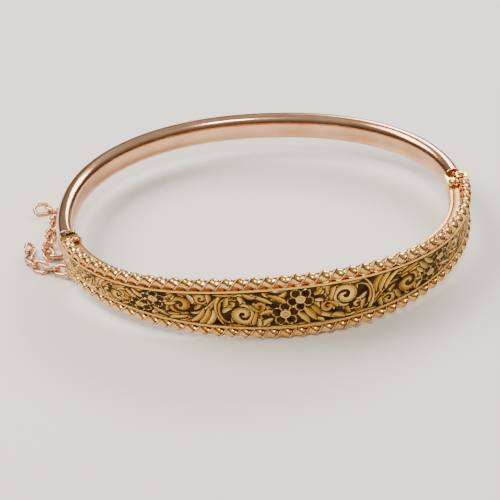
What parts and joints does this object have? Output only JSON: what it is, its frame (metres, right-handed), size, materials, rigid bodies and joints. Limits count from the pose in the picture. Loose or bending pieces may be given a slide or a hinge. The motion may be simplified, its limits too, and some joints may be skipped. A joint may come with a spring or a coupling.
{
  "type": "hinged bangle bracelet",
  "caption": "Oval hinged bangle: engraved hollow front with twisted-wire edges, plain tube back, snap catch and safety chain.",
  "frame": {"origin": "centre of the oval ring, halfway up its height", "axes": "+X along the longest inner width, from the snap catch towards the hinge; +Y from the engraved front towards the tube at the back; +Z along the wearer's wrist"},
  "size_m": [0.0697, 0.0528, 0.0106],
  "materials": {
    "yellow_gold": "bright-cut and polished yellow gold alloy",
    "rose_gold": "polished rosier gold alloy",
    "pin_gold": "drawn gold wire"
  },
  "bodies": {
    "front": {"engraved_face_plate": "yellow_gold", "inner_lining": "yellow_gold", "upper_side_wall": "yellow_gold", "lower_side_wall": "yellow_gold", "upper_twisted_wire": "yellow_gold", "lower_twisted_wire": "yellow_gold", "clasp_upper_end_wire": "yellow_gold", "clasp_lower_end_wire": "yellow_gold", "hinge_upper_end_wire": "yellow_gold", "hinge_lower_end_wire": "yellow_gold", "clasp_end_plate": "yellow_gold", "hinge_end_plate": "yellow_gold", "front_knuckle_upper": "yellow_gold", "front_knuckle_lower": "yellow_gold", "hinge_pin": "pin_gold", "front_chain_ring": "rose_gold"},
    "back": {"back_tube": "rose_gold", "tube_hinge_cap": "yellow_gold", "tube_clasp_cap": "rose_gold", "back_knuckle": "yellow_gold", "snap_lower_leaf": "yellow_gold", "back_chain_ring": "rose_gold"},
    "snap": {"snap_upper_leaf": "yellow_gold", "thumb_catch": "yellow_gold"},
    "band_link_01_body": {"band_link_01": "rose_gold"},
    "band_link_02_body": {"band_link_02": "rose_gold"},
    "band_link_03_body": {"band_link_03": "rose_gold"},
    "band_link_04_body": {"band_link_04": "rose_gold"},
    "band_link_05_body": {"band_link_05": "rose_gold"},
    "band_link_06_body": {"band_link_06": "rose_gold"},
    "band_link_07_body": {"band_link_07": "rose_gold"},
    "tube_link_01_body": {"tube_link_01": "rose_gold"},
    "tube_link_02_body": {"tube_link_02": "rose_gold"},
    "tube_link_03_body": {"tube_link_03": "rose_gold"},
    "tube_link_04_body": {"tube_link_04": "rose_gold"},
    "tube_link_05_body": {"tube_link_05": "rose_gold"},
    "tube_link_06_body": {"tube_link_06": "rose_gold"},
    "tube_link_07_body": {"tube_link_07": "rose_gold"},
    "tube_link_08_body": {"tube_link_08": "rose_gold"},
    "tube_link_09_body": {"tube_link_09": "rose_gold"},
    "tube_link_10_body": {"tube_link_10": "rose_gold"},
    "tube_link_11_body": {"tube_link_11": "rose_gold"},
    "tube_link_12_body": {"tube_link_12": "rose_gold"}
  },
  "joints": [
    {"name": "bangle_hinge", "type": "hinge", "parent": "front", "child": "back", "pos_m": [0.03062, 0.00444, 0], "axis": [0, 0, -1], "range_deg": [0, 28]},
    {"name": "snap_press", "type": "hinge", "parent": "back", "child": "snap", "pos_m": [-0.02672, -0.01332, -0.00036], "axis": [0.9688, 0.2479, 0], "range_deg": [0, 7.6], "stiffness_Nm_per_rad": 0.02, "springref_deg": 7.6},
    {"name": "band_link_01_turn", "type": "hinge", "parent": "front", "child": "band_link_01_body", "pos_m": [-0.02806, -0.01125, -0.00417], "axis": [0.0584, 0.0197, -0.9981], "range_deg": [0, 45.98]},
    {"name": "band_link_02_turn", "type": "hinge", "parent": "band_link_01_body", "child": "band_link_02_body", "pos_m": [-0.02911, -0.01004, -0.00423], "axis": [0.0634, 0.0846, -0.9944], "range_deg": [0, 24.44]},
    {"name": "band_link_03_turn", "type": "hinge", "parent": "band_link_02_body", "child": "band_link_03_body", "pos_m": [-0.03083, -0.00924, -0.00439], "axis": [-0.057, -0.1833, -0.9814], "range_deg": [0, 16.35]},
    {"name": "band_link_04_turn", "type": "hinge", "parent": "band_link_03_body", "child": "band_link_04_body", "pos_m": [-0.0327, -0.00893, -0.00445], "axis": [-0.0338, -0.1092, 0.9934], "range_deg": [0, 16]},
    {"name": "band_link_05_turn", "type": "hinge", "parent": "band_link_04_body", "child": "band_link_05_body", "pos_m": [-0.03443, -0.00813, -0.00445], "axis": [-0.0013, -0.0017, 1], "range_deg": [0, 27.92]},
    {"name": "band_link_06_turn", "type": "hinge", "parent": "band_link_05_body", "child": "band_link_06_body", "pos_m": [-0.03559, -0.00663, -0.00445], "axis": [0.0002, 0.0001, 1], "range_deg": [0, 24.09]},
    {"name": "band_link_07_turn", "type": "hinge", "parent": "band_link_06_body", "child": "band_link_07_body", "pos_m": [-0.03606, -0.00479, -0.00445], "axis": [0, 0, 1], "range_deg": [0, 11.5]},
    {"name": "tube_link_01_turn", "type": "hinge", "parent": "back", "child": "tube_link_01_body", "pos_m": [-0.02874, -0.00343, -0.00391], "axis": [-0.2828, -0.0436, 0.9582], "range_deg": [0, 32.31]},
    {"name": "tube_link_02_turn", "type": "hinge", "parent": "tube_link_01_body", "child": "tube_link_02_body", "pos_m": [-0.02891, -0.005, -0.00417], "axis": [0.0533, -0.0301, 0.9981], "range_deg": [0, 46.66]},
    {"name": "tube_link_03_turn", "type": "hinge", "parent": "tube_link_02_body", "child": "tube_link_03_body", "pos_m": [-0.03041, -0.00615, -0.00438], "axis": [0.0286, -0.105, 0.9941], "range_deg": [0, 45.47]},
    {"name": "tube_link_04_turn", "type": "hinge", "parent": "tube_link_03_body", "child": "tube_link_04_body", "pos_m": [-0.03229, -0.00592, -0.00445], "axis": [-0.0198, -0.0343, 0.9992], "range_deg": [0, 46.52]},
    {"name": "tube_link_05_turn", "type": "hinge", "parent": "tube_link_04_body", "child": "tube_link_05_body", "pos_m": [-0.03344, -0.0044, -0.00445], "axis": [-0.0024, -0.0006, 1], "range_deg": [0, 44.64]},
    {"name": "tube_link_06_turn", "type": "hinge", "parent": "tube_link_05_body", "child": "tube_link_06_body", "pos_m": [-0.03321, -0.00252, -0.00445], "axis": [0.0002, 0, -1], "range_deg": [0, 22.01]},
    {"name": "tube_link_07_turn", "type": "hinge", "parent": "tube_link_06_body", "child": "tube_link_07_body", "pos_m": [-0.03368, -0.00068, -0.00445], "axis": [0, 0, 1], "range_deg": [0, 26.05]},
    {"name": "tube_link_08_turn", "type": "hinge", "parent": "tube_link_07_body", "child": "tube_link_08_body", "pos_m": [-0.03332, 0.00119, -0.00445], "axis": [0, 0, -1], "range_deg": [0, 22.71]},
    {"name": "tube_link_09_turn", "type": "hinge", "parent": "tube_link_08_body", "child": "tube_link_09_body", "pos_m": [-0.03368, 0.00305, -0.00445], "axis": [0, 0, 1], "range_deg": [0, 23.09]},
    {"name": "tube_link_10_turn", "type": "hinge", "parent": "tube_link_09_body", "child": "tube_link_10_body", "pos_m": [-0.0333, 0.00492, -0.00445], "axis": [0, 0, -1], "range_deg": [0, 26.97]},
    {"name": "tube_link_11_turn", "type": "hinge", "parent": "tube_link_10_body", "child": "tube_link_11_body", "pos_m": [-0.03379, 0.00675, -0.00445], "axis": [0, 0, -1], "range_deg": [0, 43.04]},
    {"name": "tube_link_12_turn", "type": "hinge", "parent": "tube_link_11_body", "child": "tube_link_12_body", "pos_m": [-0.03539, 0.00778, -0.00445], "axis": [0, 0, -1], "range_deg": [0, 45.04]}
  ],
  "couplings": [
    {"joint": "band_link_01_turn", "follows": "bangle_hinge", "ratio": 1.6208},
    {"joint": "band_link_02_turn", "follows": "bangle_hinge", "ratio": 0.85154},
    {"joint": "band_link_03_turn", "follows": "bangle_hinge", "ratio": 0.56247},
    {"joint": "band_link_04_turn", "follows": "bangle_hinge", "ratio": 0.55011},
    {"joint": "band_link_05_turn", "follows": "bangle_hinge", "ratio": 0.97577},
    {"joint": "band_link_06_turn", "follows": "bangle_hinge", "ratio": 0.83914},
    {"joint": "band_link_07_turn", "follows": "bangle_hinge", "ratio": 0.38927},
    {"joint": "tube_link_01_turn", "follows": "bangle_hinge", "ratio": 1.1325},
    {"joint": "tube_link_02_turn", "follows": "bangle_hinge", "ratio": 1.6448},
    {"joint": "tube_link_03_turn", "follows": "bangle_hinge", "ratio": 1.6026},
    {"joint": "tube_link_04_turn", "follows": "bangle_hinge", "ratio": 1.6401},
    {"joint": "tube_link_05_turn", "follows": "bangle_hinge", "ratio": 1.573},
    {"joint": "tube_link_06_turn", "follows": "bangle_hinge", "ratio": 0.76467},
    {"joint": "tube_link_07_turn", "follows": "bangle_hinge", "ratio": 0.90909},
    {"joint": "tube_link_08_turn", "follows": "bangle_hinge", "ratio": 0.78972},
    {"joint": "tube_link_09_turn", "follows": "bangle_hinge", "ratio": 0.80314},
    {"joint": "tube_link_10_turn", "follows": "bangle_hinge", "ratio": 0.94167},
    {"joint": "tube_link_11_turn", "follows": "bangle_hinge", "ratio": 1.5158},
    {"joint": "tube_link_12_turn", "follows": "bangle_hinge", "ratio": 1.5872}
  ]
}
